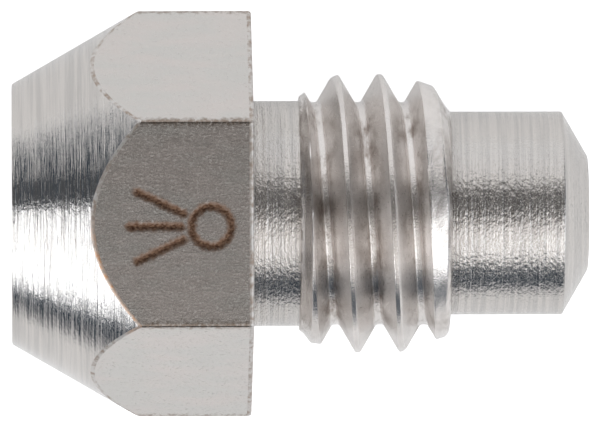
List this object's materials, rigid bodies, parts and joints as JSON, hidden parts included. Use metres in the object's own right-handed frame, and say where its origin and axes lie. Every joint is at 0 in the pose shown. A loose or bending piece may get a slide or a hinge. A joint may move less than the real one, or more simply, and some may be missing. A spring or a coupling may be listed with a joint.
{
  "type": "oil burner nozzle",
  "caption": "Hexagon-headed metal oil nozzle with a conical nose, short coarse thread, plain pilot, conical sealing end and a swirl atomiser inside.",
  "frame": {"origin": "on the nozzle's axis, in the plane of the hexagon's rear face, which seats against the holder", "axes": "+X along the axis from the nose towards the threaded stem, +Z square to the top flat of the hexagon"},
  "size_m": [0.0163, 0.0116, 0.01],
  "materials": {
    "plated_steel": "bright nickel-plated turned steel",
    "hardened_steel": "ground and lapped",
    "stainless_steel": "fine turned",
    "brass": "turned",
    "sintered_bronze": "matt porous sintered bronze"
  },
  "bodies": {
    "root": {"nozzle_body": "plated_steel", "orifice_disc": "hardened_steel", "swirl_distributor": "stainless_steel", "lock_screw": "stainless_steel", "filter_holder": "brass", "filter_cup": "sintered_bronze"}
  },
  "joints": []
}
